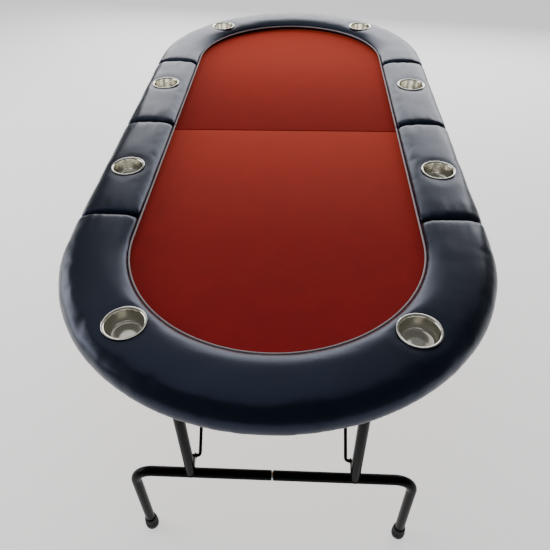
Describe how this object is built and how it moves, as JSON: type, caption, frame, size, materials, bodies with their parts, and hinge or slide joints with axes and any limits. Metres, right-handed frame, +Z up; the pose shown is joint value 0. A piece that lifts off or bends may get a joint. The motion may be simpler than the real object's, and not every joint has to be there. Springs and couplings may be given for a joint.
{
  "type": "poker table",
  "caption": "Folding oval poker table: padded rail with drop-in steel cup holders round a cloth playing surface, hinged in the middle, on tubular steel folding leg frames.",
  "frame": {"origin": "centre of the table's outline on the floor, under the fold", "axes": "+Y along the table's length from the near end to the far end, +Z up, +X to the right seen from the near end"},
  "size_m": [1, 2.12, 0.762],
  "materials": {
    "vinyl": "black grained vinyl over foam",
    "cloth": "red brushed gaming cloth",
    "board": "plain fibreboard",
    "batten": "planed pine",
    "stainless": "polished stainless steel",
    "black_steel": "gloss black powder coat",
    "zinc_steel": "bright zinc plate",
    "rubber": "moulded black rubber"
  },
  "bodies": {
    "near_half": {"hinge_pin_left": "zinc_steel", "hinge_pin_right": "zinc_steel", "near_deck": "board", "near_playing_surface": "cloth", "near_rail_board": "board", "near_end_pad": "vinyl", "near_seam_batten": "batten", "near_stay_catch": "zinc_steel", "near_side_pad_left": "vinyl", "near_side_batten_left": "batten", "near_hinge_leaf_left": "zinc_steel", "near_pivot_strap_left": "zinc_steel", "near_side_pad_right": "vinyl", "near_side_batten_right": "batten", "near_hinge_leaf_right": "zinc_steel", "near_pivot_strap_right": "zinc_steel"},
    "far_half": {"far_deck": "board", "far_playing_surface": "cloth", "far_rail_board": "board", "far_end_pad": "vinyl", "far_seam_batten": "batten", "far_stay_catch": "zinc_steel", "far_side_pad_left": "vinyl", "far_side_batten_left": "batten", "far_hinge_leaf_left": "zinc_steel", "far_pivot_strap_left": "zinc_steel", "far_side_pad_right": "vinyl", "far_side_batten_right": "batten", "far_hinge_leaf_right": "zinc_steel", "far_pivot_strap_right": "zinc_steel"},
    "near_leg": {"near_pivot_tube": "black_steel", "near_foot_sleeve": "zinc_steel", "near_upright_left": "black_steel", "near_foot_tube_left": "black_steel", "near_foot_cap_left": "rubber", "near_upright_right": "black_steel", "near_foot_tube_right": "black_steel", "near_foot_cap_right": "rubber"},
    "far_leg": {"far_pivot_tube": "black_steel", "far_foot_sleeve": "zinc_steel", "far_upright_left": "black_steel", "far_foot_tube_left": "black_steel", "far_foot_cap_left": "rubber", "far_upright_right": "black_steel", "far_foot_tube_right": "black_steel", "far_foot_cap_right": "rubber"},
    "near_stay": {"near_stay": "black_steel"},
    "far_stay": {"far_stay": "black_steel"},
    "near_side_cup_left": {"near_side_cup_left": "stainless"},
    "near_end_cup_left": {"near_end_cup_left": "stainless"},
    "near_side_cup_right": {"near_side_cup_right": "stainless"},
    "near_end_cup_right": {"near_end_cup_right": "stainless"},
    "far_side_cup_left": {"far_side_cup_left": "stainless"},
    "far_end_cup_left": {"far_end_cup_left": "stainless"},
    "far_side_cup_right": {"far_side_cup_right": "stainless"},
    "far_end_cup_right": {"far_end_cup_right": "stainless"}
  },
  "joints": [
    {"name": "half_fold", "type": "hinge", "parent": "near_half", "child": "far_half", "pos_m": [0, 0, 0.656], "axis": [-1, 0, 0], "range_deg": [0, 180]},
    {"name": "near_leg_fold", "type": "hinge", "parent": "near_half", "child": "near_leg", "pos_m": [0, -0.915, 0.678], "axis": [1, 0, 0], "range_deg": [0, 90]},
    {"name": "far_leg_fold", "type": "hinge", "parent": "far_half", "child": "far_leg", "pos_m": [0, 0.915, 0.678], "axis": [-1, 0, 0], "range_deg": [0, 90]},
    {"name": "near_stay_fold", "type": "hinge", "parent": "near_leg", "child": "near_stay", "pos_m": [0, -0.895, 0.345], "axis": [-1, 0, 0], "range_deg": [0, 142.37]},
    {"name": "far_stay_fold", "type": "hinge", "parent": "far_leg", "child": "far_stay", "pos_m": [0, 0.895, 0.345], "axis": [1, 0, 0], "range_deg": [0, 142.37]},
    {"name": "near_side_cup_left_lift", "type": "slide", "parent": "near_half", "child": "near_side_cup_left", "axis": [0, 0, 1], "range_m": [0, 0.075]},
    {"name": "near_side_cup_right_lift", "type": "slide", "parent": "near_half", "child": "near_side_cup_right", "axis": [0, 0, 1], "range_m": [0, 0.075]},
    {"name": "near_end_cup_left_lift", "type": "slide", "parent": "near_half", "child": "near_end_cup_left", "axis": [0, 0, 1], "range_m": [0, 0.075]},
    {"name": "near_end_cup_right_lift", "type": "slide", "parent": "near_half", "child": "near_end_cup_right", "axis": [0, 0, 1], "range_m": [0, 0.075]},
    {"name": "far_side_cup_left_lift", "type": "slide", "parent": "far_half", "child": "far_side_cup_left", "axis": [0, 0, 1], "range_m": [0, 0.075]},
    {"name": "far_side_cup_right_lift", "type": "slide", "parent": "far_half", "child": "far_side_cup_right", "axis": [0, 0, 1], "range_m": [0, 0.075]},
    {"name": "far_end_cup_left_lift", "type": "slide", "parent": "far_half", "child": "far_end_cup_left", "axis": [0, 0, 1], "range_m": [0, 0.075]},
    {"name": "far_end_cup_right_lift", "type": "slide", "parent": "far_half", "child": "far_end_cup_right", "axis": [0, 0, 1], "range_m": [0, 0.075]}
  ],
  "couplings": [
    {"joint": "near_leg_fold", "follows": "half_fold", "ratio": 0.5},
    {"joint": "far_leg_fold", "follows": "half_fold", "ratio": 0.5},
    {"joint": "near_stay_fold", "follows": "half_fold", "ratio": 0.79089},
    {"joint": "far_stay_fold", "follows": "half_fold", "ratio": 0.79089}
  ]
}
